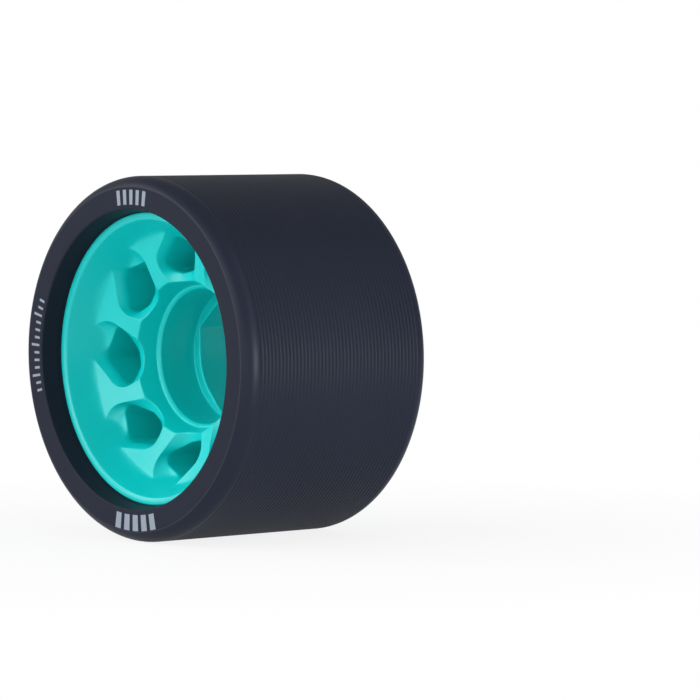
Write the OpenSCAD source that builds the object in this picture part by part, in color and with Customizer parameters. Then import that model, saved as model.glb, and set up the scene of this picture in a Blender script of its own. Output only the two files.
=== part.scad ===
// Roller skate wheel: a moulded hub with a tyre cast round its rim.
// The axle lies along Y and the deep, outer dish of the hub looks along -Y.
// Everything is drawn with the axle upright and the outer dish up, then laid over. Sizes are in mm.

/* [Tyre] */
// Outside diameter
tyre_d = 59; // [55:0.5:64]
// Width between the two faces
tyre_w = 38; // [36:0.5:42]
// Rounding between tread and face
tyre_edge_r = 2.85; // [2.65:0.05:3.5]
// How far that rounding runs in from the face, which cuts it off in a crisp edge
tyre_edge_w = 2.6; // [1.8:0.1:2.6]
// How far the mouth widens from the hub's lip to the face, on radius
mouth_flare = 0.6; // [0.2:0.1:1]

/* [Hub rim] */
// Diameter of the rim that the tyre is cast on
rim_d = 47.2; // [46:0.2:49]
// Depth of the rim's lip below each face of the tyre
rim_recess = 3.5; // [2:0.1:4.5]
// Width of the flat lip
lip_w = 1; // [0.6:0.1:1.4]
// Rounding of the lip's inner edge
lip_r = 0.3; // [0.2:0.1:0.5]

/* [Key ribs] */
// Rows of ribs that lock the tyre against sliding off
rib_rows = 3; // [1:1:4]
// Distance between the rows
rib_pitch = 8; // [5:0.5:9]
// Width of a rib at its root
rib_w = 2.4; // [1.6:0.1:3]
// Height of a rib
rib_h = 1.2; // [0.6:0.1:2]
// Gaps in each row, which lock the tyre against turning
rib_gaps = 12; // [6:1:18]
// Width of a gap, as an angle
rib_gap_a = 10; // [4:1:14]

/* [Spokes] */
// Windows between the spokes
windows = 8; // [4:1:8]
// Diameter where the spokes' outer faces meet the rim's cone
web_d = 41; // [40:0.5:42]
// Depth of the spokes below the tyre's face, at that diameter
web_recess = 8; // [6.5:0.1:9]
// Slope of the spokes' faces, deeper towards the axle
web_slope = 20.6; // [14:0.1:24]
// Diameter of the straight wall under the rim's cone
well_d = 39.6; // [39:0.2:40]
// Turn of the first window from the X axis
window_a = -0.5; // [-10:0.5:10]
// Depth of the chamfered wall round a window's outer mouth
pocket_t = 1.6; // [1.2:0.1:2]
// Width of the rounding round a window's inner mouth
far_bevel = 0.7; // [0.3:0.1:1]

/* [Bearing seats] */
// Seat diameter
seat_d = 22; // [19:0.5:22.4]
// Seat depth
seat_depth = 7.3; // [6.5:0.1:8]
// Distance between the two shoulders
seat_gap = 9.1; // [8:0.1:10.5]
// Depth of the inner seat's mouth below the tyre's inner face
inner_recess = 0; // [0:0.1:1]
// Chamfer at a seat's mouth
seat_chamfer = 0.4; // [0.2:0.1:0.6]
// Width of the ledge round the outer seat's mouth
ledge_w = 0.2; // [0.1:0.05:0.4]
// Opening through the two shoulders
shoulder_d = 18.8; // [16:0.2:19.4]
// Blunt corners that the opening runs out into
corners = 4; // [2:1:6]
// Diameter across those corners
corner_d = 20.6; // [19.6:0.2:21]
// Turn of the first corner from the X axis
corner_a = 66.5; // [0:0.5:90]

/* [Bearing tube] */
// Outside diameter
tube_d = 26.8; // [26.2:0.2:27.6]
// Diameter of the outer lead-in cone at the spokes' faces
funnel_d = 25.4; // [25:0.1:26]
// Rounding of the inner end's outer edge
tube_edge_r = 0.8; // [0.4:0.1:1.2]

/* [Hidden] */
$fa = 4;
$fs = 0.4;
teal = [0.0, 0.71, 0.69];
charcoal = [0.17, 0.18, 0.23];

// How far a cutting shape runs past the surface that it opens
over = 1;
// How deep one shape of the hub runs into the next
bite = 1;

// Radii
rim_r = rim_d / 2;
web_r = web_d / 2;
well_r = well_d / 2;
tube_r = tube_d / 2;
seat_r = seat_d / 2;
shoulder_r = shoulder_d / 2;
corner_r = corner_d / 2;
funnel_r = funnel_d / 2;
lip_in_r = rim_r - lip_w;
ledge_r = seat_r + seat_chamfer + ledge_w;

// Heights along the axle
face_z = tyre_w / 2;
lip_z = face_z - rim_recess;
web_rim_z = face_z - web_recess;
far_seat_z = -face_z + inner_recess;
far_shoulder_z = far_seat_z + seat_depth;
shoulder_z = far_shoulder_z + seat_gap;
seat_z = shoulder_z + seat_depth;

// The spokes' outer and inner faces are parallel cones
function web_z(r) = web_rim_z - (web_r - r) * tan(web_slope);
function far_web_z(r) = -web_rim_z - (web_r - r) * tan(web_slope);

// The rim's cone runs from the lip past the spokes' faces to the straight wall
cone_run = (lip_in_r - web_r) / (lip_z - web_rim_z);
well_z = lip_z - (lip_in_r - well_r) / cone_run;

// The tube's outer end sits this much under the spokes' faces
tube_step = 0.12;
tube_z = web_z(funnel_r) - tube_step;

// A window's outline is a belt round four circles, each [outward, sideways, radius, depth].
// The order is rim side, trailing side, tube side, leading side.
// Outward places are set off from the rim's cone or from the tube's lead-in, and depths from the spokes' faces.
// A chamfered wall leads in from the mouth over the brow to the throat, and the straight core starts there.
window_mouth = [
    [web_r - 0.95, -0.55, 2.0, 0],
    [funnel_r + 2.4, 2.85, 2.85, 0],
    [funnel_r + 1.9, 1.2, 4.0, 0],
    [web_r - 2.5, -1.9, 3.2, 0]
];
window_brow = [
    [web_r - 1.65, 0, 1.75, 0.7 * pocket_t],
    [funnel_r + 2.45, 3.4, 2.05, 0.45 * pocket_t],
    [funnel_r + 2.75, 0.9, 3.2, 0.6 * pocket_t],
    [web_r - 3.1, -2.4, 2.2, 0.55 * pocket_t]
];
window_throat = [
    [web_r - 2.4, 0.5, 1.5, pocket_t],
    [funnel_r + 2.5, 3.95, 1.25, pocket_t - 0.1],
    [funnel_r + 3.6, 0.6, 2.35, pocket_t + 0.35],
    [web_r - 3.7, -2.95, 1.2, pocket_t]
];
window_core = [
    [web_r - 2.0, 0.25, 0.95, 0],
    [funnel_r + 2.2, 3.9, 1.0, 0],
    [funnel_r + 3.5, 0.6, 1.7, 0],
    [web_r - 3.6, -2.5, 1.0, 0]
];

// Points on each corner of a window's outline, and between two corners
corner_n = 7;
run_n = 3;

function blend(a, b, f) = a + (b - a) * f;
function grown(outline, w) = [for (c = outline) c + [0, 0, w, 0]];
function sunk(outline, d) = [for (c = outline) c + [0, 0, 0, d]];

// Direction square to the straight run between two circles of a belt
function belt_a(c, d) =
    atan2(d[1] - c[1], d[0] - c[0]) - acos((c[2] - d[2]) / norm([d[0] - c[0], d[1] - c[1]]));

function turn_a(a, b) = ((b - a + 180) % 360 + 360) % 360 - 180;

function smooth(f) = f * f * (3 - 2 * f);

// A point of a belt on circle c, in direction a
function rim_point(c, a) = [c[0] + c[2] * cos(a), c[1] + c[2] * sin(a), c[3]];

// One corner of a belt, in steps round its circle
function corner(c, a, s) = [for (k = [0:corner_n - 1]) rim_point(c, a + s * k / (corner_n - 1))];

// The run from one corner to the next, whose depth eases from the one to the other
function run(p, q) = [
    for (k = [1:run_n])
        let (f = k / (run_n + 1))
        [blend(p.x, q.x, f), blend(p.y, q.y, f), blend(p.z, q.z, smooth(f))]
];

function belt(c) = [
    for (i = [0:3])
        let (
            next = c[(i + 1) % 4],
            a = belt_a(c[(i + 3) % 4], c[i]),
            b = belt_a(c[i], next)
        )
        each concat(
            corner(c[i], a, turn_a(a, b)),
            run(rim_point(c[i], b), rim_point(next, b))
        )
];

// A belt laid at one height, or at its depth under the spokes' outer or inner face
function level_ring(outline, z) = [for (p = belt(outline)) [p.x, p.y, z]];
function web_ring(outline) = [for (p = belt(outline)) [p.x, p.y, web_z(norm([p.x, p.y])) - p.z]];
function far_ring(outline) = [for (p = belt(outline)) [p.x, p.y, far_web_z(norm([p.x, p.y])) + p.z]];

// A solid skinned over a stack of rings, the topmost first
module skin(rings) {
    n = len(rings[0]);
    m = len(rings);
    sides = [
        for (j = [0:m - 2], i = [0:n - 1])
            let (a = j * n + i, b = j * n + (i + 1) % n)
            each [[b, a + n, a], [b + n, a + n, b]]
    ];
    top = [for (i = [1:n - 2]) [i + 1, i, 0]];
    foot = [for (i = [1:n - 2]) [(m - 1) * n + i, (m - 1) * n + i + 1, (m - 1) * n]];
    polyhedron([for (r = rings) each r], concat(sides, top, foot));
}

// The space of one window, from its chamfered outer mouth to its rounded inner mouth
module window() {
    top_z = web_z(web_r) + 2 * over;
    end_z = far_web_z(funnel_r) - 2 * over;
    // The chamfer is run on over the spokes' faces, and the rounding past them, so that both are cut through
    run_on = 0.5;
    above = blend(window_mouth, window_brow, -run_on);
    round_w = far_bevel / 3;
    past = sunk(grown(window_core, far_bevel + round_w), -round_w);
    skin([
        level_ring(grown(above, run_on), top_z),
        web_ring(above),
        web_ring(window_brow),
        web_ring(window_throat),
        web_ring(sunk(blend(window_throat, window_core, 0.2), far_bevel)),
        level_ring(window_core, 0),
        far_ring(sunk(window_core, far_bevel + 2 * round_w)),
        far_ring(sunk(grown(window_core, round_w), far_bevel - round_w)),
        far_ring(past),
        level_ring(grown(past, run_on), end_z)
    ]);
}

// The web and the bearing tube in one, cut by the windows so that the web is left as spokes
module spokes() {
    in_r = tube_r - bite;
    out_r = web_r + bite;
    difference() {
        union() {
            rotate_extrude()
                polygon([
                    [in_r, web_z(in_r)],
                    [in_r, far_web_z(in_r)],
                    [out_r, far_web_z(out_r)],
                    [out_r, web_z(out_r)]
                ]);
            tube_blank();
        }
        for (i = [0:windows - 1])
            rotate([0, 0, window_a + i * 360 / windows])
                window();
    }
}

// The rim: a lip and a cone on both sides of a straight wall
module rim() {
    // Where the lip's rounding leaves the cone
    e = lip_r * (sqrt(1 + cone_run * cone_run) - cone_run);
    rotate_extrude()
        difference() {
            translate([well_r, -lip_z])
                square([rim_r - well_r, 2 * lip_z]);
            for (side = [-1, 1])
                polygon([
                    [well_r - over, side * (well_z - over)],
                    [well_r, side * well_z],
                    [lip_in_r - e * cone_run / 2, side * (lip_z - e / 2)],
                    [lip_in_r + e, side * lip_z],
                    [lip_in_r + e, side * (lip_z + over)],
                    [well_r - over, side * (lip_z + over)]
                ]);
        }
}

// Rows of short ribs round the rim, cut by gaps
module key_ribs() {
    a = 360 / rib_gaps;
    draft = 0.3;
    for (k = [0:rib_rows - 1], i = [0:rib_gaps - 1])
        translate([0, 0, (k - (rib_rows - 1) / 2) * rib_pitch])
            rotate([0, 0, i * a + rib_gap_a / 2])
                rotate_extrude(angle = a - rib_gap_a)
                    polygon([
                        [rim_r - bite, -rib_w / 2],
                        [rim_r, -rib_w / 2],
                        [rim_r + rib_h, -rib_w / 2 + draft],
                        [rim_r + rib_h, rib_w / 2 - draft],
                        [rim_r, rib_w / 2],
                        [rim_r - bite, rib_w / 2]
                    ]);
}

// The bearing tube before it is bored
module tube_blank() {
    rotate_extrude()
        union() {
            translate([shoulder_r / 2, far_seat_z + tube_edge_r])
                square([tube_r - shoulder_r / 2, tube_z - far_seat_z - tube_edge_r]);
            translate([shoulder_r / 2, far_seat_z])
                square([tube_r - tube_edge_r - shoulder_r / 2, 2 * tube_edge_r]);
            translate([tube_r - tube_edge_r, far_seat_z + tube_edge_r])
                circle(r = tube_edge_r);
        }
}

// The outline of the opening between the shoulders: a circle that runs out into blunt corners
module shoulder_opening() {
    // A little less than the slope at which a corner's sides would only touch the circle
    half = asin(shoulder_d / corner_d) - 2;
    circle(r = shoulder_r);
    for (i = [0:corners - 1])
        rotate(corner_a + i * 360 / corners)
            polygon([
                [corner_r, 0],
                corner_r * sin(half) * [sin(half), cos(half)],
                corner_r * sin(half) * [sin(half), -cos(half)]
            ]);
}

// The space inside the tube: lead-in, both seats, and the opening between the shoulders
module bore() {
    run = (funnel_r - ledge_r) / (web_z(funnel_r) - seat_z);
    rise = 2 * over;
    rotate_extrude()
        polygon([
            [0, shoulder_z],
            [seat_r, shoulder_z],
            [seat_r, seat_z - seat_chamfer],
            [seat_r + seat_chamfer, seat_z],
            [ledge_r, seat_z],
            [funnel_r + rise * run, web_z(funnel_r) + rise],
            [0, web_z(funnel_r) + rise]
        ]);
    rotate_extrude()
        polygon([
            [0, far_shoulder_z],
            [seat_r, far_shoulder_z],
            [seat_r, far_seat_z + seat_chamfer],
            [seat_r + seat_chamfer + over, far_seat_z - over],
            [0, far_seat_z - over]
        ]);
    translate([0, 0, far_shoulder_z - over])
        linear_extrude(height = seat_gap + 2 * over)
            shoulder_opening();
}

// The section of the tyre on one side of the axle, before the rib pockets
module tyre_section() {
    r = tyre_d / 2;
    in_r = rim_r - bite;
    edge_z = face_z - tyre_edge_w;
    mouth_r = rim_r + mouth_flare * (1 + over / rim_recess);
    difference() {
        union() {
            translate([in_r, -edge_z])
                square([r - in_r, 2 * edge_z]);
            translate([in_r, -face_z])
                square([r - tyre_edge_r - in_r, tyre_w]);
            intersection() {
                translate([in_r, -face_z])
                    square([r - in_r, tyre_w]);
                for (side = [-1, 1])
                    translate([r - tyre_edge_r, side * edge_z])
                        circle(r = tyre_edge_r);
            }
        }
        polygon([
            [rim_r - 2 * bite, -face_z - over],
            [mouth_r, -face_z - over],
            [rim_r, -lip_z],
            [rim_r, lip_z],
            [mouth_r, face_z + over],
            [rim_r - 2 * bite, face_z + over]
        ]);
    }
}

// Lays the upright drawing over, so that its top looks along -Y
module laid() {
    rotate([90, 0, 0])
        children();
}

module hub() {
    color(teal)
        laid()
            difference() {
                union() {
                    rim();
                    key_ribs();
                    spokes();
                }
                bore();
            }
}

module tyre() {
    color(charcoal)
        laid()
            difference() {
                rotate_extrude()
                    tyre_section();
                key_ribs();
            }
}

hub();
tyre();
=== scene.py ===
# %% [markdown]
# # A roller skate wheel, dressed for its portrait
# The real wheel is two pieces: a moulded nylon hub, and a urethane tyre that is cast round it.
# Their imported solids come in first and stay where they are, because every size is already settled there.

# %% The frame
import math

import bmesh
import bpy
import numpy as np
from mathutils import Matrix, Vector


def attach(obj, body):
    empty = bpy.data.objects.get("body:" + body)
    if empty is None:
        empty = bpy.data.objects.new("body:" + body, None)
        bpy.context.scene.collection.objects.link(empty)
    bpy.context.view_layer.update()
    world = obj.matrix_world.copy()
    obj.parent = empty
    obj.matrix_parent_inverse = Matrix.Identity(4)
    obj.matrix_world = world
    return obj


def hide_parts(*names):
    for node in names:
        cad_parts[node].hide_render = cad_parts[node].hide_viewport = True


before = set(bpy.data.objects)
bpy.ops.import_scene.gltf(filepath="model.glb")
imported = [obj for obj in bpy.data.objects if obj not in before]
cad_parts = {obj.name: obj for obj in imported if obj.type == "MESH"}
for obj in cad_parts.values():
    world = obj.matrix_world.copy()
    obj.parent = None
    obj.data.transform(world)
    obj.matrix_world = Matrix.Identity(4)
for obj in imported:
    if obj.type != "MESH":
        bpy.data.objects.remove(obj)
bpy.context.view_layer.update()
MM = 0.001
print("frame:", sorted(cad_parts))

# %% [markdown]
# ## Sizes of the hub's dish
# On the real wheel the hub is one moulding. Cut along the axle, it shows a stack of cones: the rim's cone,
# the shallow cone on which the spokes' faces lie, and the steep lead-in to the bearing seat.
# They could be drawn as one curve and turned. Here each cone is a small function of the radius instead,
# because each is one line in the section, and later cells can then ask for the height anywhere.
# Sizes are in millimetres, with the height measured along the axle towards the open dish.

# %% The cones
LIP_R, LIP_Z = 22.6, 15.5
WEB_R, WEB_Z = 20.5, 11.0
WEB_SLOPE = math.tan(math.radians(20.6))
LEAD_R, LEAD_Z, LEAD_SLOPE = 12.7, 8.05, 3.1


def rim_cone(r):
    """Height of the rim's cone."""
    return LIP_Z - (LIP_R - r) * (LIP_Z - WEB_Z) / (LIP_R - WEB_R)


def web_cone(r):
    """Height of the spokes' near faces."""
    return WEB_Z - (WEB_R - r) * WEB_SLOPE


def far_web(r):
    """Height of the spokes' far faces, counted away from the dish."""
    return WEB_Z + (WEB_R - r) * WEB_SLOPE


def lead_cone(r):
    """Height of the lead-in cone over the bearing seat."""
    return LEAD_Z + (r - LEAD_R) * LEAD_SLOPE


print("spokes' faces fall from %.2f to %.2f mm" % (web_cone(WEB_R), web_cone(LEAD_R)))

# %% [markdown]
# ## The outline of a window
# Each of the eight windows leans one way round, like a leaf. Its mouth, its throat a little deeper and the
# straight core are three outlines. They could be drawn as curves with handles. Here each is a belt stretched
# round a few discs, because discs keep every corner truly round.
# In each direction a belt follows the disc that reaches furthest. It is then read back as a distance from
# the window's middle, which makes rings of points easy to place.

# %% Belts round discs
MIDDLE = np.array([16.5, 0.3])
# Each disc is its outward place, its sideways place and its radius.
# They stand in order: rim side, trailing side, tube side, leading side. The throat has two on the tube side.
MOUTH = [(19.55, -0.57, 2.0), (15.1, 2.85, 2.85), (14.6, 1.2, 4.0), (18.0, -1.9, 3.2)]
THROAT = [(18.1, 0.5, 1.5), (15.2, 3.95, 1.25), (15.4, 2.2, 1.8), (16.3, 0.6, 2.4), (16.8, -2.95, 1.2)]
CORE = [(18.5, 0.25, 0.95), (14.9, 3.9, 1.0), (16.2, 0.6, 1.7), (16.9, -2.5, 1.0)]
BELT_STEP, BELT_POINTS = 0.5, 1440


def belt(discs):
    """Angles and distances of a belt round the discs, as seen from the window's middle."""
    a = np.radians(np.arange(0, 360, BELT_STEP))
    out = np.stack([np.cos(a), np.sin(a)], -1)
    discs = np.array(discs)
    furthest = (out @ discs[:, :2].T + discs[:, 2]).argmax(1)
    edge = discs[furthest, :2] + out * discs[furthest, 2:]
    loop = np.vstack([edge, edge[:1]])
    run = np.r_[0, np.cumsum(np.linalg.norm(np.diff(loop, axis=0), axis=1))]
    even = np.linspace(0, run[-1], BELT_POINTS, endpoint=False)
    p = np.stack([np.interp(even, run, loop[:, i]) for i in (0, 1)], -1) - MIDDLE
    angle = np.arctan2(p[:, 1], p[:, 0])
    order = np.argsort(angle)
    return angle[order], np.hypot(p[:, 0], p[:, 1])[order]


BELTS = {"mouth": belt(MOUTH), "throat": belt(THROAT), "core": belt(CORE)}


def reach(name, angle):
    """Distance from the window's middle to an outline, in a direction."""
    return np.interp(angle, *BELTS[name], period=2 * math.pi)


mouth_reach = BELTS["mouth"][1]
print("window mouth reaches %.1f to %.1f mm" % (mouth_reach.min(), mouth_reach.max()))

# %% [markdown]
# ## The wall between mouth and throat
# A chamfered wall leads from the mouth down to the throat, and it is not the same all round.
# Between the leading side and the rim it drops steeply, runs out into a small floor and ends in a crisp edge.
# On the trailing side it rounds over softly into the tunnel, and towards the tube it is deepest.
# A bevel would give one width all round. So three numbers describe the wall in each direction: the depth at
# the throat, the steepness at the mouth and the size of the turn into the tunnel. They are given at a few
# directions and blurred in between.

# %% Wall numbers round the window
# Each row is a direction in degrees, the depth, the steepness and the turn.
WALL = np.array([
    (-137, 1.90, 1.00, 0.20), (-110, 1.65, 1.00, 0.20), (-90, 1.55, 1.20, 0.18), (-56, 1.60, 1.80, 0.20),
    (-35, 1.65, 2.00, 0.20), (0, 1.50, 1.40, 0.45), (50, 1.25, 0.90, 0.50), (90, 1.30, 0.90, 0.50),
    (118, 1.60, 0.95, 0.40), (150, 1.90, 1.00, 0.25), (180, 2.00, 1.00, 0.20)])
WALL_A = np.radians(np.arange(-180, 180, 2.0))
BLUR = np.hanning(15) / np.hanning(15).sum()


def blurred(column):
    """One column of the wall's numbers at even directions, blurred all round."""
    v = np.interp(WALL_A, np.radians(WALL[:, 0]), WALL[:, column], period=2 * math.pi)
    half = len(BLUR) // 2
    return np.convolve(np.r_[v[-half:], v, v[:half]], BLUR, "valid")


WALLS = {"depth": blurred(1), "steep": blurred(2), "turn": blurred(3)}


def wall(name, angle):
    """One of the wall's three numbers, in a direction."""
    return np.interp(angle, WALL_A, WALLS[name], period=2 * math.pi)


print("wall depth %.2f to %.2f mm" % (WALLS["depth"].min(), WALLS["depth"].max()))

# %% [markdown]
# ## The face of the dish as a height
# Down to the throat, the moulded face has one height over each spot of the wheel's plane, so it needs no
# sculpting: it is a formula. The lower of spoke and window wall gives the crisp edge of the mouth.
# The higher of that and the rim's cone gives the soft fillet at the rim, where the real hub shows no edge.

# %% Height of the dish
MOUTH_EDGE, RIM_FILLET, FAR_FILLET = 0.10, 0.4, 1.4


def soft_max(a, b, k):
    """The larger of two values, with a fillet where they cross."""
    h = np.maximum(k - np.abs(a - b), 0)
    return np.maximum(a, b) + h * h / (4 * k)


def soft_min(a, b, k):
    """The smaller of two values, with a fillet where they cross."""
    return -soft_max(-a, -b, k)


def dish(p):
    """Height of the near face at points (outward, sideways) round one window."""
    r = np.hypot(p[..., 0], p[..., 1])
    d = p - MIDDLE
    away = np.hypot(d[..., 0], d[..., 1])
    angle = np.arctan2(d[..., 1], d[..., 0])
    mouth_at = reach("mouth", angle)
    x = (mouth_at - away) / (mouth_at - reach("throat", angle))
    steep = wall("steep", angle)
    inside = steep * x + (1 - steep) * x * x
    outside = np.maximum(steep, 1) * x
    sunk = wall("depth", angle) * np.where(x > 0, inside, outside)
    face = soft_min(web_cone(r), web_cone(r) - sunk, MOUTH_EDGE)
    return soft_max(rim_cone(r), face, RIM_FILLET)


def far_face(r):
    """Height of the far face, counted away from the dish."""
    return soft_max(rim_cone(r), far_web(r), FAR_FILLET)


print("dish is %.2f mm high at the window's throat, towards the rim" % dish(np.array([19.6, 0.3])))

# %% [markdown]
# ## One eighth of the hub
# A cutter and a boolean would leave long slivers at the windows' edges. Instead one window's surround is a
# net of rings. The outermost ring is the border of one eighth of the hub. The rings close in over the spoke,
# the mouth, the chamfered wall, the throat and the tunnel, then open again on the far face.
# The border's two sides lean with the spokes, so a copy turned by an eighth meets them point by point.

# %% The border of one eighth
EIGHTH = math.pi / 4
# Steps along an arc and along a side, and the lean of the sides in degrees.
ARC, SIDE, LEAN = 36, 20, 7.0
OUTER_R, FAR_OUTER_R, FAR_INNER_R = 22.2, 21.9, 13.95
# The ridge is looked for between two radii, and the border stays clear of it for a small round.
RIDGE_LOW, RIDGE_HIGH, HALVINGS, RIDGE_ROUND = 11.6, 13.4, 40, 0.16


def ridge(phi):
    """Radius at which the lead-in cone meets the dish's face, found by halving."""
    low, high = np.full_like(phi, RIDGE_LOW), np.full_like(phi, RIDGE_HIGH)
    for _ in range(HALVINGS):
        r = (low + high) / 2
        p = np.stack([r * np.cos(phi), r * np.sin(phi)], -1)
        over = lead_cone(r) > dish(p)
        low, high = np.where(over, low, r), np.where(over, r, high)
    return (low + high) / 2


def border(outer_r, inner_r):
    """Border points, counter-clockwise from the outer arc; inner_r is a function of the angle."""
    lean = math.radians(LEAN)
    arc = (np.arange(ARC + 1) - ARC / 2) * (EIGHTH / ARC)
    inner_phi = arc[::-1] + lean
    u = np.arange(1, SIDE) / SIDE
    corner = inner_r(np.array([EIGHTH / 2 + lean]))[0]
    side_r = outer_r + (corner - outer_r) * u
    side_phi = lean * (2 * u - 1)
    r = np.r_[np.full(ARC + 1, outer_r), side_r, inner_r(inner_phi), side_r[::-1]]
    phi = np.r_[arc - lean, side_phi + EIGHTH / 2, inner_phi, side_phi[::-1] - EIGHTH / 2]
    return np.stack([r * np.cos(phi), r * np.sin(phi)], -1)


near_border = border(OUTER_R, lambda phi: ridge(phi) + RIDGE_ROUND)
far_border = border(FAR_OUTER_R, lambda phi: np.full_like(phi, FAR_INNER_R))
print("border of", len(near_border), "points")

# %% [markdown]
# The rings over the near face come first. A moulded edge is never quite sharp, and a bevel would do it.
# Here the rings simply lie closer together at the mouth, so that the edge stays crisp and still catches
# light. The turn from the wall into the tunnel is a small curve with three handles, as on a drawing board.

# %% Rings over the near face
# Half the width of the close rings at the mouth.
EDGE = 0.13
# Where the spoke is narrow, the mouth's ring keeps off the border, and the turn keeps off the mouth.
MOUTH_SHARE, MOUTH_BLEND, TURN_SHARE = 0.72, 0.3, 0.6
# The wall's slope above the turn is measured over a short probe and kept within limits.
PROBE, SLOPE_LEAST, SLOPE_MOST, TURN_DROP = 0.02, -0.5, 2.2, 1.2
SPOKE_STEPS = (0, 0.14, 0.28, 0.42, 0.56, 0.7, 0.82, 0.92)
EDGE_STEPS = (0, 0.25, 0.5, 0.75, 1)
WALL_STEPS = (0.1, 0.2, 0.3, 0.4, 0.5, 0.6, 0.7, 0.8, 0.9)


def curve3(a, b, c, n):
    """Points from a to c on a curve that leaves towards b and arrives from it."""
    f = np.linspace(0, 1, n)[:, None, None]
    return (1 - f) ** 2 * a + 2 * f * (1 - f) * b + f ** 2 * c


d = near_border - MIDDLE
away = np.hypot(d[:, 0], d[:, 1])
angle = np.arctan2(d[:, 1], d[:, 0])
aim = d / away[:, None]
throat = reach("throat", angle)
mouth = soft_min(reach("mouth", angle), throat + MOUTH_SHARE * (away - throat), MOUTH_BLEND)
turn = np.minimum(wall("turn", angle), TURN_SHARE * (mouth - EDGE - throat))


def at(rho, z=None):
    """Ring of points at distances rho from the window's middle, on the dish or at heights z."""
    p = MIDDLE + aim * rho[:, None]
    return np.c_[p, dish(p) if z is None else z]


def spread(a, b, fractions):
    """Distances at fractions of the way from a to b."""
    return [a + (b - a) * f for f in fractions]


rhos = spread(away, mouth + EDGE, SPOKE_STEPS)
rhos += spread(mouth + EDGE, mouth - EDGE, EDGE_STEPS)
rhos += spread(mouth - EDGE, throat + turn, WALL_STEPS)
rings = [at(rho) for rho in rhos]

start = at(throat + turn)
slope = (at(throat + turn + PROBE)[:, 2] - start[:, 2]) / PROBE
corner_z = start[:, 2] - np.clip(slope, SLOPE_LEAST, SLOPE_MOST) * turn
rings += list(curve3(start, at(throat, corner_z), at(throat, corner_z - TURN_DROP * turn), n=7))
print("near face:", len(rings), "rings")

# %% [markdown]
# Behind the throat the window narrows to its core, as the taper of a mould's pin would leave it, and opens on
# the far face with a wide round. A separate tube could be joined on, but the rings simply go on from one to
# the next, so the tunnel needs no seam.

# %% Rings through the tunnel to the far face
# The round at the far face, and the share of the tunnel over which it tapers.
FAR_ROUND, TAPER_END = 0.6, 0.42
TUNNEL_STEPS = (0.03, 0.08, 0.16, 0.28, 0.42, 0.58, 0.74, 0.9)
FAR_STEPS = (0.08, 0.2, 0.36, 0.52, 0.68, 0.84, 1.0)


def on_far_face(p):
    """Ring of points (outward, sideways) laid on the far face."""
    return np.c_[p, -far_face(np.hypot(p[:, 0], p[:, 1]))]


core = reach("core", angle)
deep = rings[-1][:, 2]
far_z = on_far_face(MIDDLE + aim * core[:, None])[:, 2]
for f in TUNNEL_STEPS:
    s = min(f / TAPER_END, 1)
    rings.append(at(throat + (core - throat) * s * s * (3 - 2 * s), deep + (far_z + FAR_ROUND - deep) * f))

far_mouth = MIDDLE + aim * (core + FAR_ROUND)[:, None]
rings += list(curve3(at(core, far_z + FAR_ROUND), at(core, far_z), on_far_face(far_mouth), n=6))
rings += [on_far_face(far_mouth + (far_border - far_mouth) * f) for f in FAR_STEPS]
rings = np.array(rings)
print("window net:", rings.shape[0], "rings of", rings.shape[1], "points")

# %% [markdown]
# Under the spokes' feet the face drops into the lead-in cone over a wavy ridge, which dips at each window,
# where the chamfered wall cuts it. A turned strip can't be wavy, so a skirt of a few rows hangs from the
# eighth's inner arc, turns over that ridge and ends on a true circle.

# %% The skirt over the wavy ridge
# The circle on which the skirt ends, and how far inside the crest its round ends.
SKIRT_R, CREST_DROP = 11.82, 0.07
SKIRT_STEPS = (0.2, 0.45, 0.7, 1.0)
inner = slice(ARC + SIDE, ARC + SIDE + ARC + 1)
top = rings[0][inner]
phi = np.arctan2(top[:, 1], top[:, 0])
crest_r = ridge(phi)


def polar(r, z):
    """Points at the skirt's own angles."""
    return np.stack([r * np.cos(phi), r * np.sin(phi), z], -1)


crest = polar(crest_r, lead_cone(crest_r))
under = polar(crest_r - CREST_DROP, lead_cone(crest_r - CREST_DROP))
end = polar(np.full_like(phi, SKIRT_R), np.full_like(phi, lead_cone(SKIRT_R)))
skirt = list(curve3(top, crest, under, n=5))
skirt += [under + (end - under) * f for f in SKIRT_STEPS]
skirt = np.array(skirt)
print("ridge runs between radius %.2f and %.2f mm" % (crest_r.min(), crest_r.max()))

# %% [markdown]
# Rings and skirt are both nets. Blender can bridge such loops, one pair at a time, but a small function that
# numbers the faces serves either net at once. The drawing is upright, with its height along the axle, and the
# wheel's axle lies along Y, so the points are laid over on the way.

# %% One eighth as a mesh
def net(rows, closed):
    """Faces of a net of rows, numbered row by row."""
    m, n = rows.shape[:2]
    return [(j * n + i, j * n + (i + 1) % n, (j + 1) * n + (i + 1) % n, (j + 1) * n + i)
            for j in range(m - 1) for i in range(n if closed else n - 1)]


def laid(p):
    """Upright millimetres to the wheel's own frame, with the dish looking along -Y."""
    p = np.asarray(p).reshape(-1, 3) * MM
    return np.stack([p[:, 0], -p[:, 2], p[:, 1]], -1)


def new_piece(name, verts, faces=(), edges=()):
    """A mesh object at the origin."""
    mesh = bpy.data.meshes.new(name)
    mesh.from_pydata([tuple(v) for v in verts], edges, faces)
    piece = bpy.data.objects.new(name, mesh)
    bpy.context.collection.objects.link(piece)
    return piece


shift = rings.shape[0] * rings.shape[1]
faces = net(rings, True) + [tuple(k + shift for k in face) for face in net(skirt, False)]
eighth = new_piece("hub_eighth", np.vstack([laid(rings), laid(skirt)]), faces)
print("one eighth:", len(eighth.data.polygons), "faces")

# %% [markdown]
# ## A helper for node trees
# Trees of nodes can be wired by hand, link by link, but a sum then takes many lines. A small class wraps a
# node's output and overloads the operators, so a sum in Python adds its own Math nodes. Every other node
# comes from one method. The same helper serves shapes and finishes.

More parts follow.
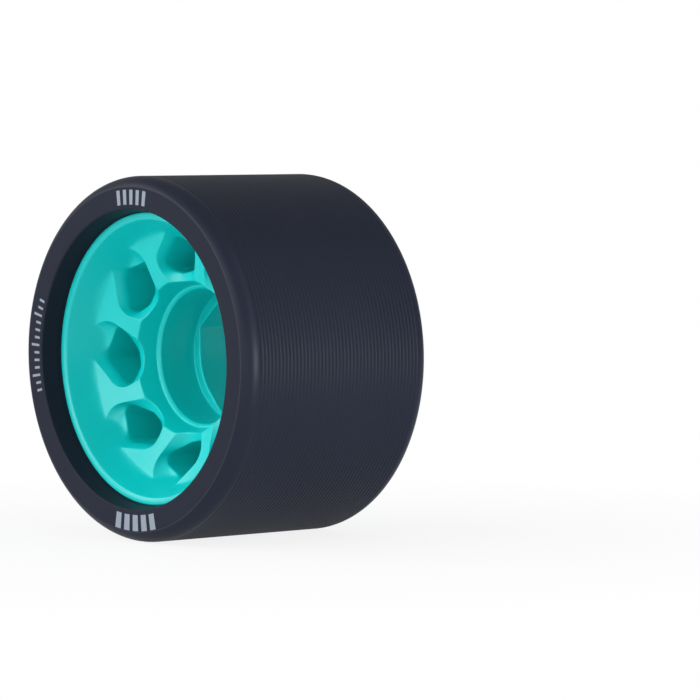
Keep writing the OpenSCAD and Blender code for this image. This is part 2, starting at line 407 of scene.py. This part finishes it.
# %% Values, nodes and trees
class Value:
    """A node's output that can be used in sums: each operator adds a Math node."""

    def __init__(self, tree, socket):
        self.tree, self.socket = tree, socket

    def maths(self, operation, *values):
        """The output of a new Math node that works on these values."""
        return self.tree.node("ShaderNodeMath", {"operation": operation}, dict(enumerate(values))).value()

    def do(self, operation, *others):
        """An operation on this value, by name."""
        return self.maths(operation, self, *others)

    def __add__(self, other):
        return self.maths("ADD", self, other)

    def __radd__(self, other):
        return self.maths("ADD", other, self)

    def __sub__(self, other):
        return self.maths("SUBTRACT", self, other)

    def __rsub__(self, other):
        return self.maths("SUBTRACT", other, self)

    def __mul__(self, other):
        return self.maths("MULTIPLY", self, other)

    def __rmul__(self, other):
        return self.maths("MULTIPLY", other, self)

    def __truediv__(self, other):
        return self.maths("DIVIDE", self, other)

    def __rtruediv__(self, other):
        return self.maths("DIVIDE", other, self)

    def __lt__(self, other):
        return self.maths("LESS_THAN", self, other)

    def __gt__(self, other):
        return self.maths("GREATER_THAN", self, other)


class Node:
    """A node whose outputs are read by name or number."""

    def __init__(self, tree, node):
        self.tree, self.node = tree, node

    def value(self, out=0):
        return Value(self.tree, self.node.outputs[out])


class Tree:
    """A node tree that is written down node by node."""

    def __init__(self, tree):
        self.tree = tree

    def node(self, kind, settings=None, values=None):
        """Adds a node: settings first, then a value or a link for each socket named or numbered."""
        n = self.tree.nodes.new(kind)
        for key, setting in (settings or {}).items():
            setattr(n, key, setting)
        for key, v in (values or {}).items():
            if isinstance(v, Value):
                self.tree.links.new(v.socket, n.inputs[key])
            else:
                n.inputs[key].default_value = v
        return Node(self, n)


print("helper classes:", Value.__name__, Node.__name__, Tree.__name__)

# %% [markdown]
# ## Two node trees that follow the axle
# Everything else on a wheel either repeats round the axle or is turned about it, so two small Geometry Nodes
# trees do the rest. The first sets copies of a piece round the axle. The second turns a profile, as a lathe
# does, and can lift part of the profile in patches: ribs on the rim, blunt corners in the bore.
# Array and Screw modifiers come close, but they can't lift patches, and a tree has its sizes as named inputs.
# When a tree has run, its result is kept as a plain mesh and the modifier goes.

# %% Trees that make shapes
def geometry_tree(name, **inputs):
    """A Geometry Nodes tree with a mesh, a material and named numbers as its inputs."""
    group = bpy.data.node_groups.new(name, "GeometryNodeTree")
    face = group.interface
    face.new_socket("Geometry", in_out="INPUT", socket_type="NodeSocketGeometry")
    face.new_socket("Geometry", in_out="OUTPUT", socket_type="NodeSocketGeometry")
    face.new_socket("Material", in_out="INPUT", socket_type="NodeSocketMaterial")
    for key, kind in inputs.items():
        face.new_socket(key, in_out="INPUT", socket_type="NodeSocket" + kind)
    tree = Tree(group)
    return tree, tree.node("NodeGroupInput"), group


def close_tree(tree, given, shape):
    """Ends a tree: one real mesh, in the material that was given."""
    whole = tree.node("GeometryNodeRealizeInstances", {}, {"Geometry": shape})
    done = tree.node("GeometryNodeSetMaterial", {}, {
        "Geometry": whole.value(), "Material": given.value("Material")})
    tree.node("NodeGroupOutput", {}, {"Geometry": done.value()})
    print("tree:", tree.tree.name, "of", len(tree.tree.nodes), "nodes")


def apply_tree(piece, group, **inputs):
    """Runs a tree on a piece and keeps the result as its plain mesh."""
    mod = piece.modifiers.new(group.name, "NODES")
    mod.node_group = group
    names = {s.name: s.identifier for s in group.interface.items_tree if s.in_out == "INPUT"}
    for key, v in inputs.items():
        mod[names[key]] = v
    graph = bpy.context.evaluated_depsgraph_get()
    mesh = bpy.data.meshes.new_from_object(piece.evaluated_get(graph))
    piece.modifiers.remove(mod)
    old, piece.data = piece.data, mesh
    bpy.data.meshes.remove(old)
    return piece


print("shape trees take a mesh, a material and named numbers")

# %% [markdown]
# The first tree sets one point on the axle for each copy, and only the turn differs from point to point.
# A loop in Python could copy and turn the mesh as well. In the tree the count and the turn stay named inputs.

# %% Copies round the axle
tree, given, ROUND = geometry_tree("round the axle", Copies="Int", Turn="Float")
line = tree.node("GeometryNodeMeshLine", {}, {"Count": given.value("Copies"), "Offset": (0, 0, 0)})
index = tree.node("GeometryNodeInputIndex").value()
angle_y = given.value("Turn") - index * (2 * math.pi) / given.value("Copies")
spin = tree.node("ShaderNodeCombineXYZ", {}, {"Y": angle_y})
copies = tree.node("GeometryNodeInstanceOnPoints", {}, {
    "Points": line.value(), "Instance": given.value("Geometry"), "Rotation": spin.value()})
close_tree(tree, given, copies.value())

# %% [markdown]
# The lathe tree reads a profile as a row of points, radius and place along the axle, and bends a flat grid
# round it. The profile's own attribute `lift` says how far a patch may raise each point. A patch rises over
# a ramp: a very short one gives a rib's upright end, and a long one gives a blunt corner.

# %% A lathe
# In radians, so that a patch takes in the points on its very edge.
PATCH_MARGIN = 0.0005
tree, given, LATHE = geometry_tree(
    "lathe", Segments="Int", Start="Float", Patches="Int", PatchTurn="Float", PatchWidth="Float",
    Ramp="Float")
profile = given.value("Geometry")
size = tree.node("GeometryNodeAttributeDomainSize", {"component": "MESH"}, {0: profile})
rows = size.value("Point Count")
grid = tree.node("GeometryNodeMeshGrid", {}, {
    "Vertices X": given.value("Segments") + 1, "Vertices Y": rows})
index = tree.node("GeometryNodeInputIndex").value()
column = (index / rows).do("FLOOR")
row = index - column * rows
place = tree.node("GeometryNodeInputPosition").value()
lift = tree.node("GeometryNodeInputNamedAttribute", {"data_type": "FLOAT"}, {"Name": "lift"}).value()
point = tree.node("GeometryNodeSampleIndex", {"data_type": "FLOAT_VECTOR"}, {
    "Geometry": profile, "Value": place, "Index": row}).value()
raised = tree.node("GeometryNodeSampleIndex", {"data_type": "FLOAT"}, {
    "Geometry": profile, "Value": lift, "Index": row}).value()
xyz = tree.node("ShaderNodeSeparateXYZ", {}, {0: point})
round_a = given.value("Start") + column * (2 * math.pi) / given.value("Segments")
pitch = (2 * math.pi) / given.value("Patches")
off = ((round_a - given.value("PatchTurn")) / pitch + 0.5).do("FRACT") - 0.5
inside = given.value("PatchWidth") * 0.5 + PATCH_MARGIN - (off * pitch).do("ABSOLUTE")
patch = (inside / given.value("Ramp")).do("MAXIMUM", 0.0).do("MINIMUM", 1.0)
radius = xyz.value("X") + raised * patch * patch
spot = tree.node("ShaderNodeCombineXYZ", {}, {
    "X": radius * round_a.do("COSINE"), "Y": xyz.value("Y"), "Z": radius * round_a.do("SINE")})
bent = tree.node("GeometryNodeSetPosition", {}, {"Geometry": grid.value("Mesh"), "Position": spot.value()})
close_tree(tree, given, bent.value())

# %% [markdown]
# A profile is a mesh of points and edges alone. It could be a curve, but the points of a mesh carry the
# attribute `lift` as they stand. It is listed as rows of radius, height and lift, and a helper adds the
# nought where a row has no lift.

# %% Profiles for the lathe
# The ramp of an upright end, in radians.
UPRIGHT = 0.0002


def plain(points):
    """Rows without lift from pairs of radius and height."""
    return [(r, z, 0) for r, z in points]


def profile_piece(name, rows):
    """A profile for the lathe: rows of radius, height and lift, in millimetres."""
    rows = np.array(rows, float)
    verts = np.stack([rows[:, 0], -rows[:, 1], 0 * rows[:, 0]], -1) * MM
    piece = new_piece(name, verts, edges=[(i, i + 1) for i in range(len(rows) - 1)])
    piece.data.attributes.new("lift", "FLOAT", "POINT").data.foreach_set("value", rows[:, 2] * MM)
    return piece


def lathe(name, rows, finish, start, patches, turn, width, ramp=UPRIGHT):
    """Turns a profile once round; start, turn and width are in degrees, ramp in radians."""
    return apply_tree(
        profile_piece(name, rows), LATHE, Material=finish, Segments=8 * ARC, Start=math.radians(start),
        Patches=patches, PatchTurn=math.radians(turn), PatchWidth=math.radians(width), Ramp=ramp)


print("lathe turns in", 8 * ARC, "segments")

# %% [markdown]
# ## Finishes
# Both finishes are satin: a plain colour that clouds a little, under a fine grain from the mould.
# Photographs of plastic could be wrapped round the pieces, but they need unwrapped seams, and noise in the
# piece's own coordinates needs none.

# %% What a finish is made of
GRAIN_DEPTH = 0.02 * MM


def new_finish(name):
    """A new material with its empty tree, and the place on the piece that its patterns read."""
    finish = bpy.data.materials.new(name)
    finish.use_nodes = True
    finish.node_tree.nodes.clear()
    tree = Tree(finish.node_tree)
    return finish, tree, tree.node("ShaderNodeTexCoord").value("Object")


def noise(tree, spot, scale, detail):
    """Soft noise between 0 and 1."""
    return tree.node("ShaderNodeTexNoise", {"noise_dimensions": "3D"}, {
        "Vector": spot, "Scale": scale, "Detail": detail, "Roughness": 0.5}).value("Fac")


def mixed(tree, factor, a, b):
    """Colour a, going over to b with the factor."""
    return tree.node("ShaderNodeMix", {"data_type": "RGBA"}, {0: factor, 6: a, 7: b}).value(2)


def satin(tree, spot, colour, roughness, specular, grain_scale, grain_strength):
    """Ends a finish in one satin shader with a fine grain."""
    bump = tree.node("ShaderNodeBump", {}, {
        "Strength": grain_strength, "Distance": GRAIN_DEPTH,
        "Height": noise(tree, spot, grain_scale, detail=2)})
    shader = tree.node("ShaderNodeBsdfPrincipled", {}, {
        "Base Color": colour, "Roughness": roughness, "Normal": bump.value(), "IOR": 1.5,
        "Specular IOR Level": specular})
    tree.node("ShaderNodeOutputMaterial", {}, {"Surface": shader.value()})


print("grain is %.2f mm deep" % (GRAIN_DEPTH / MM))

# %% [markdown]
# The hub is dyed nylon, fresh from a mould with a fine spark-worn texture. A clear coat is one way to a
# gloss, but it gives sharp lights. This gloss is broad and low, so the plain shader does, with a moderate
# roughness and a specular level under the usual half.

# %% Hub nylon
TEAL_DEEP, TEAL_PALE = (0.0, 0.515, 0.504, 1), (0.0, 0.545, 0.534, 1)
nylon, tree, spot = new_finish("satin_nylon")
cloud = noise(tree, spot, scale=90, detail=3)
satin(tree, spot, colour=mixed(tree, cloud, TEAL_DEEP, TEAL_PALE), roughness=0.30 + 0.08 * cloud,
      specular=0.36, grain_scale=5200, grain_strength=0.12)
print("finish:", nylon.name)

# %% [markdown]
# The near face of the tyre carries pale printed marks in three places, here plain bars and a row of ticks.
# They could be thin pieces of their own, but real print has no thickness to speak of. So they are part of the
# tyre's finish, drawn in polar terms: an angle and a distance from the axle say whether a spot is on a bar.

# %% Marks on the tyre's face
NEAR_FACE_Y = -18.9 * MM
# Middle, pitch, count and width of the bars round the face, then their inner and outer distance.
MARKS = ((90, 3.6, 5, 1.8, 24.9, 27.3), (-88, 4.8, 5, 3.0, 25.0, 27.6),
         (177, 2.8, 13, 0.9, 24.9, 26.2), (177, 11.2, 3, 0.9, 26.2, 27.0))
urethane, tree, spot = new_finish("cast_urethane")
xyz = tree.node("ShaderNodeSeparateXYZ", {}, {0: spot})
x, y, z = (xyz.value(axis) for axis in "XYZ")
from_axle = (x * x + z * z).do("SQRT") / MM
bearing = z.do("ARCTAN2", x) * (180 / math.pi)


def bars(middle, pitch, count, width, low, high):
    """A mask of bars on the near face: angles in degrees, distances from the axle in millimetres."""
    off = (bearing - (middle - 180)).do("FLOORED_MODULO", 360) - 180
    cell = (off / pitch + 0.5 * (count % 2)).do("FRACT") - 0.5
    across = (cell.do("ABSOLUTE") < 0.5 * width / pitch) * (off.do("ABSOLUTE") < 0.5 * pitch * count)
    return across * (from_axle > low) * (from_axle < high) * (y < NEAR_FACE_Y)


marks = bars(*MARKS[0])
for mark in MARKS[1:]:
    marks = marks + bars(*mark)
print("marks in", len(MARKS), "rows")

# %% [markdown]
# The tyre is cast urethane, nearly black. Its faces keep the mould's dull satin. From the crease outwards a
# tool has skimmed it, which leaves it a little smoother. The hollows between the lines of the tread are
# painted darker as shade, and a thin ring along the crease is painted lighter as a highlight.
# Each zone could have a material of its own. Masks on the distance from the axle keep them in one finish
# instead, as they are one casting.

# %% Tyre urethane
TYRE_R, CREASE_R, CREASE_HALF, SKIM_R, LINE_T = 29.5, 27.8, 0.09, 27.9, 0.065
TREAD_HALF, FACE_FROM = 16.3 * MM, 18.8 * MM
RUBBER_DARK, RUBBER = (0.0110, 0.0140, 0.0250, 1), (0.0140, 0.0170, 0.0300, 1)
# Painted light: the next colour is painted shade for the tread's hollows, the one after a painted highlight
# on the crease.
HOLLOW_SHADE_TONE, CREASE_HIGHLIGHT_TONE = (0.004, 0.005, 0.009, 1), (0.028, 0.031, 0.043, 1)
MARK_TONE = (0.29, 0.33, 0.40, 1)
cloud = noise(tree, spot, scale=60, detail=3)
across_y = y.do("ABSOLUTE")
hollow = ((TYRE_R - from_axle) / LINE_T).do("MINIMUM", 1.0).do("MAXIMUM", 0.0) * (across_y < TREAD_HALF)
crease = ((from_axle - CREASE_R).do("ABSOLUTE") < CREASE_HALF) * (across_y > FACE_FROM)
skimmed = from_axle > SKIM_R
colour = mixed(tree, cloud, RUBBER_DARK, RUBBER)
# Painted shade: the hollows of the tread are darkened a little in the colour.
colour = mixed(tree, 0.15 * hollow, colour, HOLLOW_SHADE_TONE)
# Painted highlight: a thin ring along the crease on the face is lightened in the colour.
colour = mixed(tree, crease, colour, CREASE_HIGHLIGHT_TONE)
colour = mixed(tree, marks * (0.70 + 0.2 * cloud), colour, MARK_TONE)
roughness = 0.48 + 0.08 * cloud - 0.14 * skimmed + 0.1 * hollow
satin(tree, spot, colour, roughness, specular=0.1, grain_scale=3800, grain_strength=0.15)
print("finish:", urethane.name)

# %% [markdown]
# ## The hub
# The eighth goes round the axle eight times. Two turned strips complete it, and each starts where the
# eighth's own border points lie, so that they meet. The outer strip runs up the rim's cone, over the lip,
# which slopes inwards a little, and along the ribbed rim under the tyre to the far lip. A spin would turn the
# strip as well, but the ribs need the lathe's patches.

# %% The rim outside the windows
HALF_EIGHTH, WINDOW_TURN = 22.5, -0.5
apply_tree(eighth, ROUND, Material=nylon, Copies=8, Turn=-math.radians(WINDOW_TURN))

RIM_R, RIM_END, CONE_TOP_R = 23.6, 15.3, 22.3
RIB_H, RIB_W, RIB_DRAFT, RIB_GAP, RIB_EDGE = 1.2, 2.4, 0.3, 1.4, 0.05
RIB_ROWS = (8.0, 0.0, -8.0)
# Ribs in a row, then the turn of the first and the width of each, in degrees.
RIBS = (12, 15.0, 20.0)
# Radius and height of the lip, from its inner foot to its outer edge.
LIP = [(22.38, 15.02), (22.44, 15.13), (22.5, 15.205), (22.57, 15.255), (22.67, 15.305), (22.8, 15.362),
       (22.95, 15.42), (23.1, 15.465), (23.25, 15.492), (23.42, 15.5), (23.52, 15.488), (23.58, 15.44),
       (RIM_R, 15.36)]


def ribbed_wall():
    """The rim's outside from near to far, with three rows of ribs."""
    foot, crown = RIB_W / 2, RIB_W / 2 - RIB_DRAFT
    half = [(foot + RIB_GAP, 0), (foot + RIB_EDGE, 0), (foot, 0), (crown, RIB_H), (crown - RIB_EDGE, RIB_H)]
    rows = [(RIM_R, RIM_END, 0)]
    for z in RIB_ROWS:
        rows += [(RIM_R, z + up, lift) for up, lift in half]
        rows += [(RIM_R, z - up, lift) for up, lift in half[::-1]]
    return rows + [(RIM_R, -RIM_END, 0)]


def lip_rows(border_r):
    """From the border up the rim's cone, over the lip to its outer edge."""
    cone = [(r, rim_cone(r)) for r in (border_r, (border_r + CONE_TOP_R) / 2, CONE_TOP_R)]
    return plain(cone + LIP)


far_lip = [(r, -z, k) for r, z, k in lip_rows(FAR_OUTER_R)][::-1]
outer_start = -HALF_EIGHTH - LEAN + WINDOW_TURN
outer_strip = lathe("hub_outer", lip_rows(OUTER_R) + ribbed_wall() + far_lip, nylon, outer_start, *RIBS)
print("outer strip:", len(outer_strip.data.polygons), "faces")

# %% [markdown]
# The inner strip holds what a bearing needs: a ledge, a seat with a chamfered mouth, and a shoulder. Behind
# the shoulder lies an opening with four blunt corners, then the second seat, and the tube's end and outside.
# It could be several tubes, but one profile from the lead-in to the far web leaves nothing to join.
# Only the opening's rows have lift, which makes the corners.

# %% The seats and the tube
FACE_Z, TUBE_R, TUBE_EDGE, TUBE_FILLET = 19.0, 13.4, 0.8, 0.55
SEAT_R, BORE_R, CORNER_LIFT = 11.0, 9.4, 0.9
SEAT_Z, SHOULDER_Z, FAR_SHOULDER_Z, BORE_MIDDLE_Z = 4.7, -2.6, -11.7, -7.0
CORNERS, CORNER_TURN, CORNER_WIDTH = 4, 66.5, 48.2
# Radius and depth below the ledge, the seat's mouth or the shoulder.
LEDGE = [(11.72, -0.2), (11.68, -0.08), (11.62, -0.02), (11.55, 0.0), (11.46, 0.0)]
SEAT_MOUTH = [(11.4, 0.02), (11.34, 0.06), (11.2, 0.2), (11.06, 0.34), (11.01, 0.42), (SEAT_R, 0.52)]
SEAT_FOOT = [(SEAT_R, -0.3), (10.98, -0.12), (10.9, -0.03), (10.78, 0.0), (10.6, 0.0)]
OPENING = [(9.62, 0.0), (9.52, 0.02), (9.44, 0.08), (BORE_R, 0.2), (BORE_R, 0.6)]


def seat_rows(mouth_z, shoulder_z):
    """From a seat's mouth chamfer to the edge of the opening behind its shoulder."""
    way = 1 if shoulder_z > mouth_z else -1
    rows = [(r, mouth_z + way * depth, 0) for r, depth in SEAT_MOUTH]
    rows += [(SEAT_R, (mouth_z + shoulder_z) / 2, 0)]
    rows += [(r, shoulder_z + way * depth, 0) for r, depth in SEAT_FOOT]
    return rows + [(r, shoulder_z + way * depth, CORNER_LIFT) for r, depth in OPENING]


bore = plain([(SKIRT_R, lead_cone(SKIRT_R))] + [(r, SEAT_Z - depth) for r, depth in LEDGE])
bore += seat_rows(SEAT_Z, SHOULDER_Z) + [(BORE_R, BORE_MIDDLE_Z, CORNER_LIFT)]
bore += seat_rows(-FACE_Z, FAR_SHOULDER_Z)[::-1]
bore += plain((r, -FACE_Z) for r in (11.5, 12.0, 12.5))
bore += plain((TUBE_R - TUBE_EDGE + TUBE_EDGE * math.sin(a), -FACE_Z + TUBE_EDGE - TUBE_EDGE * math.cos(a))
              for a in np.radians(np.arange(0, 91, 15)))
bore += plain((TUBE_R, z) for z in (-17.9, -16.2, -14.6))
foot_z = -far_web(FAR_INNER_R) - TUBE_FILLET
bore += plain((FAR_INNER_R - TUBE_FILLET * math.sin(a), foot_z + TUBE_FILLET * math.cos(a))
              for a in np.radians((90, 75, 60, 45, 30, 15)))
bore += plain([(FAR_INNER_R, -far_face(FAR_INNER_R))])
inner_start = -HALF_EIGHTH + LEAN + WINDOW_TURN
inner_strip = lathe("hub_inner", bore, nylon, inner_start, CORNERS, CORNER_TURN, CORNER_WIDTH,
                    math.radians(CORNER_WIDTH / 2))
print("inner strip:", len(inner_strip.data.polygons), "faces")

# %% [markdown]
# The real hub is one moulding. Its parts here now share their borders point by point, so merging the doubles
# closes the skin. Joining the objects alone would leave seams in the shading. Counting the open edges is a
# quick proof that nothing gapes.

# %% One closed hub
SEAM = 0.003 * MM


def sewn(name, parts, finish):
    """One closed mesh from parts that share their borders."""
    bm = bmesh.new()
    for part in parts:
        bm.from_mesh(part.data)
    bmesh.ops.remove_doubles(bm, verts=bm.verts, dist=SEAM)
    bmesh.ops.recalc_face_normals(bm, faces=bm.faces)
    for face in bm.faces:
        face.smooth = True
        face.material_index = 0
    gaps = sum(len(e.link_faces) != 2 for e in bm.edges)
    piece = new_piece(name, ())
    bm.to_mesh(piece.data)
    bm.free()
    piece.data.materials.append(finish)
    for part in parts:
        bpy.data.objects.remove(part)
    tris = sum(len(p.vertices) - 2 for p in piece.data.polygons)
    print(name, "triangles", tris, "open edges", gaps)
    return piece


hub = sewn("wheel_hub", [eighth, outer_strip, inner_strip], nylon)

# %% [markdown]
# ## The tyre
# A lathe is also how the real tyre gets its tread: the cast ring is skimmed, which leaves a fine thread of
# lines. A bump in the finish could fake them, but then the outline would stay smooth. So the lines are in the
# profile as real hollows, a few hundredths of a millimetre deep.

# %% The turned tyre
EDGE_R, TREAD_Z = 2.84, 16.4
LINES, LINE_PITCH, LINE_STEPS, LINE_SHIFT = 45, 0.7285, 5, 0.1
SHOULDER_A = np.radians((63, 60, 53, 46, 39, 32, 25, 18, 12, 6, 2))
# From the rim up the flared mouth, over its edge, across the flat face and to the crease.
TYRE_SIDE = [(RIM_R, 15.36), (RIM_R + 0.02, 15.5), (23.75, 16.4), (24.0, 17.8), (24.14, 18.66),
             (24.19, 18.86), (24.27, 18.95), (24.4, FACE_Z), (24.8, FACE_Z), (25.6, FACE_Z), (26.6, FACE_Z),
             (27.45, FACE_Z), (27.68, FACE_Z), (27.76, 18.99), (27.84, 18.965)]


def tyre_rows():
    """The tyre's section, once round, from the near mouth over the tread and back along the rim."""
    shoulder = [(TYRE_R - EDGE_R + EDGE_R * math.cos(a), TREAD_Z + EDGE_R * math.sin(a)) for a in SHOULDER_A]
    near = plain(TYRE_SIDE + shoulder)
    half = LINES * LINE_PITCH / 2
    along = np.linspace(half, -half, LINES * LINE_STEPS + 1) - LINE_SHIFT
    sunk = LINE_T * (0.5 - 0.5 * np.cos(2 * math.pi * np.arange(len(along)) / LINE_STEPS))
    tread = plain(zip(TYRE_R - sunk, along))
    far = [(r, -z, k) for r, z, k in near[::-1]]
    return near + tread + far + ribbed_wall()[::-1] + near[:1]


tyre = sewn("wheel_tyre", [lathe("tyre_turned", tyre_rows(), urethane, outer_start, *RIBS)], urethane)

# %% [markdown]
# ## What each piece stands for
# On the real wheel the tyre is bonded to the hub and both turn as one. They could be joined into one object,
# but two pieces keep two finishes apart. So both ride on the wheel's one body, and each stands in for the
# solid of the same shape.

# %% Pieces to solids
for piece, node, finish in ((hub, "hub", "hub_nylon"), (tyre, "tyre", "tyre_urethane")):
    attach(piece, "root")
    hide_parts(node)
    print(piece.name, "stands for", node)

# %% [markdown]
# ## The floor
# The wheel stands on a plain pale ground. A white material alone would render grey away from the lamps.
# So the camera sees the paper glow, a little less near the wheel, where the share that does not glow keeps
# the soft shadow. Other rays see it dimmer, so that the glow lights the wheel less from below.

# %% The floor
FLOOR_Z, FLOOR_HALF = -29.5 * MM, 3
GLOW_NEAR, GLOW_GROWTH, GLOW_UNSEEN = 0.80, 1.6, 0.42
corners = [(FLOOR_HALF * i, FLOOR_HALF * j, FLOOR_Z) for i, j in ((-1, -1), (1, -1), (1, 1), (-1, 1))]
floor = new_piece("floor", corners, [(0, 1, 2, 3)])
paper, tree, spot = new_finish("floor_paper")
far_off = tree.node("ShaderNodeVectorMath", {"operation": "LENGTH"}, {0: spot}).value("Value")
seen = tree.node("ShaderNodeLightPath").value("Is Camera Ray")
share = (GLOW_NEAR + GLOW_GROWTH * far_off).do("MINIMUM", 1.0) * (GLOW_UNSEEN + (1 - GLOW_UNSEEN) * seen)
matte = tree.node("ShaderNodeBsdfPrincipled", {}, {"Base Color": (0.9, 0.9, 0.9, 1), "Roughness": 0.9})
glow = tree.node("ShaderNodeEmission", {}, {"Color": (1, 1, 1, 1), "Strength": 1.0})
both = tree.node("ShaderNodeMixShader", {}, {0: share, 1: matte.value(), 2: glow.value()})
tree.node("ShaderNodeOutputMaterial", {}, {"Surface": both.value()})
floor.data.materials.append(paper)
print("floor at %.1f mm" % (FLOOR_Z / MM))

# %% [markdown]
# ## The light
# A studio surrounds such a product with soft white. A picture of a studio could do that, but a formula is
# enough: a white fill, a little stronger in front and on the left. The camera sees it at full white.
# Gloss sees the dimmer fill, because a full white all round would leave the dark tread pale at its edges,
# and nothing here is metal or glass.

# %% The surrounding
FILL, FILL_FRONT, FILL_LEFT = 0.35, 0.07, 0.12
world = bpy.data.worlds.new("studio")
bpy.context.scene.world = world
world.use_nodes = True
world.node_tree.nodes.clear()
tree = Tree(world.node_tree)
path = tree.node("ShaderNodeLightPath")
seen = path.value("Is Camera Ray").do("MAXIMUM", path.value("Is Transmission Ray"))
side = tree.node("ShaderNodeSeparateXYZ", {}, {0: tree.node("ShaderNodeTexCoord").value("Generated")})
fill = FILL - FILL_FRONT * side.value("Y") - FILL_LEFT * side.value("X")
back = tree.node("ShaderNodeBackground", {}, {"Color": (1, 1, 1, 1), "Strength": fill + (1.0 - fill) * seen})
tree.node("ShaderNodeOutputWorld", {}, {"Surface": back.value()})
print("fill runs from %.2f on the right to %.2f on the left" % (FILL - FILL_LEFT, FILL + FILL_LEFT))

# %% [markdown]
# Five soft lamps shape the wheel. The key is large and stands in front of the open dish, so faces square to
# the axle are lightest. One at the upper left models the dish. One high at the right rear lights the top of
# the tread. A small one in front on the right reaches the walls of dish and bore that look its way, and a
# narrow one beside the tread draws a band along it. Sunlight would be simpler, but its shadows are hard.

# %% The lamps
# Name, place, width and height, and power.
LAMPS = (("key", (-0.12, -1.1, 0.2), (1.0, 1.2), 14.2),
         ("left", (-0.88, -0.62, 0.58), (0.5, 0.5), 3.8),
         ("rear", (1.0, 0.3, 0.8), (0.8, 1.2), 3.5),
         ("right", (0.75, -0.93, -0.02), (0.4, 0.2), 2.6),
         ("band", (1.08, 0.12, -0.02), (0.3, 0.12), 14.5))


def facing(place, target):
    """The turn of a lamp or camera that looks from a place to a target."""
    return (Vector(target) - Vector(place)).to_track_quat("-Z", "Y").to_euler()


for name, place, (width, height), power in LAMPS:
    data = bpy.data.lights.new(name, "AREA")
    data.shape = "RECTANGLE"
    data.size, data.size_y, data.energy = width, height, power
    lamp = bpy.data.objects.new(name, data)
    lamp.location = place
    lamp.rotation_euler = facing(place, (0, 0, 0))
    bpy.context.collection.objects.link(lamp)
print("lamps:", [entry[0] for entry in LAMPS])

# %% [markdown]
# ## The camera
# The camera stands where the photograph was taken: half round to the side, just above the axle, and far off
# with a long lens. It could be set by eye, but its angles, distance and aim were fitted to the wheel's
# outlines, so they are written as such. The aim lies beside the wheel, which puts it left of the middle.

# %% The camera
AZ, EL, DISTANCE = math.radians(51.18), math.radians(3.27), 0.6874
AIM_RIGHT, AIM_UP = 0.02071, 0.000831
LENS, SENSOR = 216, 36
back_v = Vector((math.sin(AZ) * math.cos(EL), -math.cos(AZ) * math.cos(EL), math.sin(EL)))
right_v = Vector((math.cos(AZ), math.sin(AZ), 0))
up_v = back_v.cross(right_v)
camera_data = bpy.data.cameras.new("camera")
camera_data.sensor_width = SENSOR
camera_data.lens = LENS
camera = bpy.data.objects.new("camera", camera_data)
camera.location = back_v * DISTANCE
camera.rotation_euler = facing(back_v * DISTANCE, right_v * AIM_RIGHT + up_v * AIM_UP)
bpy.context.collection.objects.link(camera)
bpy.context.scene.camera = camera
bpy.context.scene.view_settings.view_transform = "Standard"
print("camera at", [round(v, 3) for v in camera.location])
